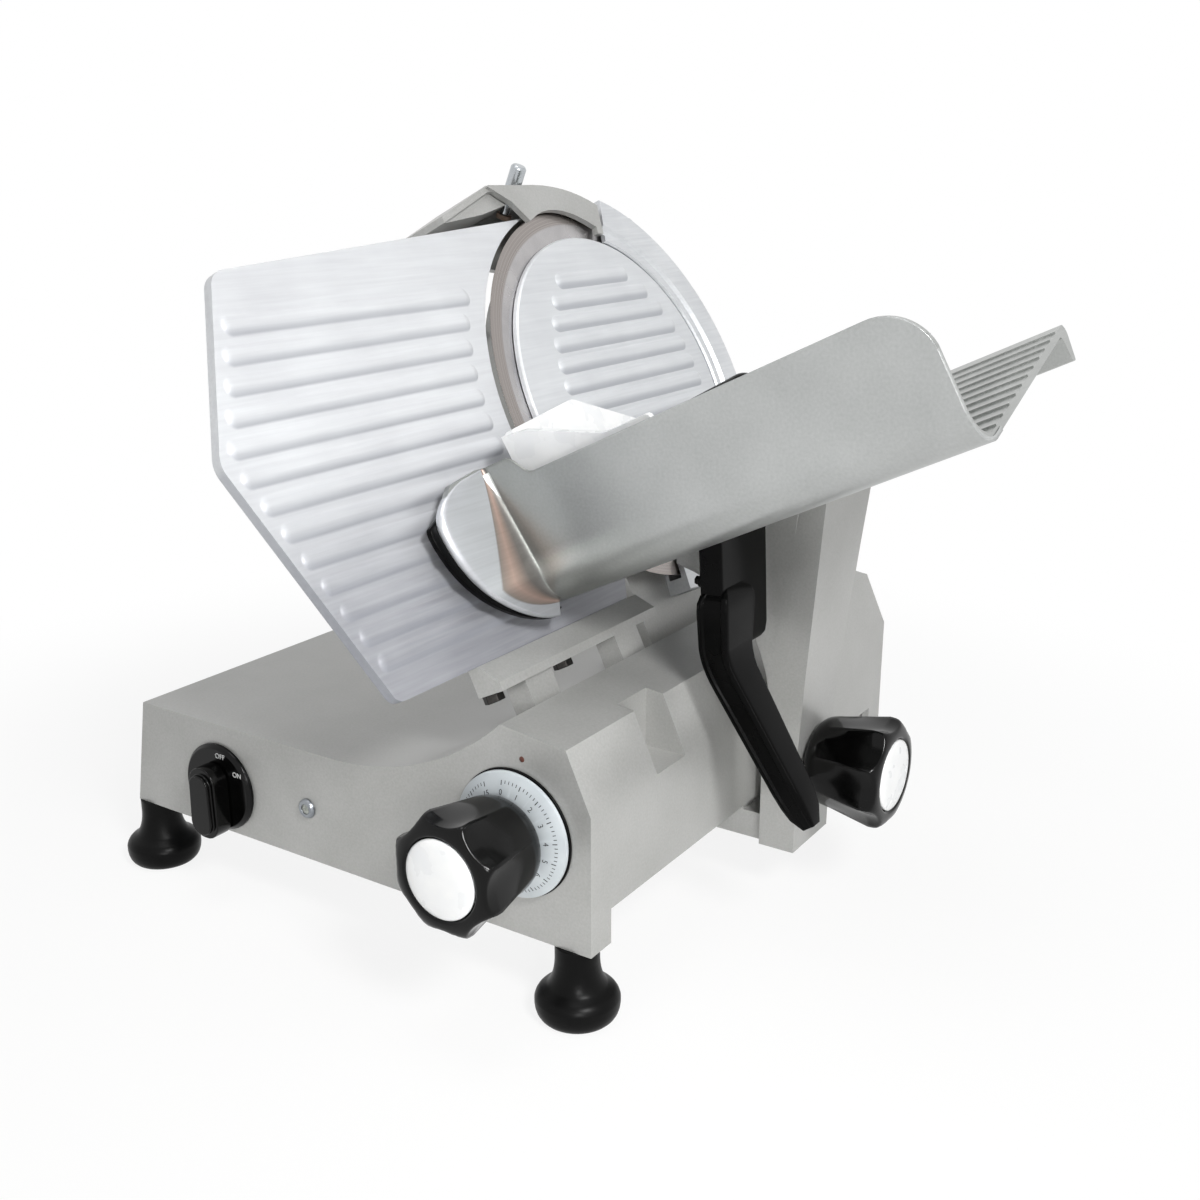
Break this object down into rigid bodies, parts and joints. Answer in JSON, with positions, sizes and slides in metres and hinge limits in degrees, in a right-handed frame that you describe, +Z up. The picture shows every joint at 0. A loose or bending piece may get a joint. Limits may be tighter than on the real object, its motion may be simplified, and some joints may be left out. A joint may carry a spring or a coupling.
{
  "type": "electric food slicer",
  "caption": "Gravity-feed electric food slicer with a tilted blade, ribbed gauge plate, thickness dial and a sliding product tray on a cast base",
  "frame": {"origin": "on the table, midway between the left and right sides of the base and midway between its front and rear walls", "axes": "X to the right along the front panel, Y from the front panel to the rear, Z up"},
  "size_m": [0.5197, 0.4849, 0.4327],
  "materials": {
    "cast_aluminium": "satin",
    "polished_aluminium": "polished",
    "blade_steel": "polished",
    "machined_steel": "satin",
    "sheet_steel": "brushed",
    "fastener_steel": "satin",
    "black_rubber": "matte",
    "black_gloss_plastic": "gloss",
    "black_satin_plastic": "satin",
    "white_plastic": "gloss",
    "lamp_lens": "clear",
    "motor_paint": "satin",
    "hone_grit": "rough",
    "sintered_bronze": "satin"
  },
  "bodies": {
    "housing": {"base_housing": "cast_aluminium", "bottom_cover": "sheet_steel", "foot_front_left": "black_rubber", "foot_front_right": "black_rubber", "foot_rear_left": "black_rubber", "foot_rear_right": "black_rubber", "foot_screws": "fastener_steel", "cover_screws": "fastener_steel", "switch_base": "black_gloss_plastic", "pilot_bezel": "machined_steel", "pilot_lens": "lamp_lens", "dial_gasket": "black_rubber", "cable_gland": "black_satin_plastic", "slide_rod": "machined_steel", "guide_rod": "machined_steel", "gauge_rods": "machined_steel", "blade_support": "cast_aluminium", "support_bolts": "fastener_steel", "ring_guard": "polished_aluminium", "guard_pins": "machined_steel", "bearing_front": "machined_steel", "bearing_rear": "machined_steel", "drive_belt": "black_rubber", "belt_cover": "cast_aluminium", "motor": "motor_paint", "motor_saddle": "sheet_steel", "blade_cover": "polished_aluminium", "cover_tie_rod": "machined_steel", "slice_deflector": "sheet_steel", "sharpener_cap": "cast_aluminium"},
    "blade_rotor": {"blade": "blade_steel", "blade_hub": "machined_steel", "blade_screws": "fastener_steel", "blade_pulley": "machined_steel"},
    "motor_rotor": {"motor_shaft": "machined_steel", "motor_pulley": "machined_steel"},
    "gauge": {"gauge_plate": "polished_aluminium", "gauge_carrier": "cast_aluminium", "gauge_bolts": "fastener_steel"},
    "dial": {"dial_ring": "cast_aluminium", "dial_knob": "black_gloss_plastic", "dial_cap": "white_plastic", "dial_shaft": "machined_steel", "scroll_cam": "machined_steel"},
    "switch": {"switch_lever": "black_gloss_plastic"},
    "carriage": {"tray": "polished_aluminium", "tray_guard": "black_satin_plastic", "carriage_arm": "cast_aluminium", "slide_bushes": "sintered_bronze", "carriage_handle": "black_satin_plastic", "pusher_brackets": "cast_aluminium", "pusher_rod": "machined_steel"},
    "pusher_carrier": {"pusher_sleeve": "machined_steel"},
    "pusher": {"pusher_plate": "polished_aluminium", "pusher_handle": "black_satin_plastic"},
    "lock": {"lock_knob": "black_gloss_plastic", "lock_cap": "white_plastic"},
    "cover_lock": {"cover_knob": "black_gloss_plastic"},
    "hone": {"hone_button": "machined_steel"},
    "stone": {"hone_stone": "hone_grit"}
  },
  "joints": [
    {"name": "blade_spin", "type": "hinge", "parent": "housing", "child": "blade_rotor", "pos_m": [0.03708, 0.0615, 0.29055], "axis": [0.8988, 0, 0.4384], "continuous": true},
    {"name": "motor_spin", "type": "hinge", "parent": "housing", "child": "motor_rotor", "pos_m": [0.12563, 0.0615, 0.10899], "axis": [0.8988, 0, 0.4384], "continuous": true},
    {"name": "carriage_slide", "type": "slide", "parent": "housing", "child": "carriage", "axis": [0, 1, 0], "range_m": [-0.13, 0.12]},
    {"name": "gauge_slide", "type": "slide", "parent": "housing", "child": "gauge", "axis": [-0.8988, 0, -0.4384], "range_m": [0, 0.015]},
    {"name": "dial_turn", "type": "hinge", "parent": "housing", "child": "dial", "pos_m": [0.127, -0.1875, 0.102], "axis": [0, -1, 0], "range_deg": [0, 330]},
    {"name": "switch_turn", "type": "hinge", "parent": "housing", "child": "switch", "pos_m": [-0.095, -0.1875, 0.072], "axis": [0, 1, 0], "range_deg": [0, 60]},
    {"name": "pusher_slide", "type": "slide", "parent": "carriage", "child": "pusher_carrier", "axis": [0.8988, 0, 0.4384], "range_m": [0, 0.13]},
    {"name": "pusher_swing", "type": "hinge", "parent": "pusher_carrier", "child": "pusher", "pos_m": [0.10827, 0.07769, 0.23584], "axis": [-0.8988, 0, -0.4384], "range_deg": [0, 95]},
    {"name": "lock_knob_turn", "type": "hinge", "parent": "carriage", "child": "lock", "pos_m": [0.23, 0.0125, 0.09], "axis": [1, 0, 0], "range_deg": [0, 300]},
    {"name": "cover_knob_turn", "type": "hinge", "parent": "housing", "child": "cover_lock", "pos_m": [-0.03033, 0.0615, 0.25767], "axis": [-0.8988, 0, -0.4384], "range_deg": [0, 330]},
    {"name": "hone_press", "type": "slide", "parent": "housing", "child": "hone", "axis": [-0.3907, 0, -0.9205], "range_m": [0, 0.005], "stiffness_N_per_m": 600},
    {"name": "stone_spin", "type": "hinge", "parent": "hone", "child": "stone", "pos_m": [-0.02811, 0.0265, 0.41508], "axis": [0.3907, 0, 0.9205], "continuous": true}
  ],
  "couplings": [
    {"joint": "motor_spin", "follows": "blade_spin", "ratio": 2.7692},
    {"joint": "dial_turn", "follows": "gauge_slide", "rad_per_m": 383.97}
  ]
}
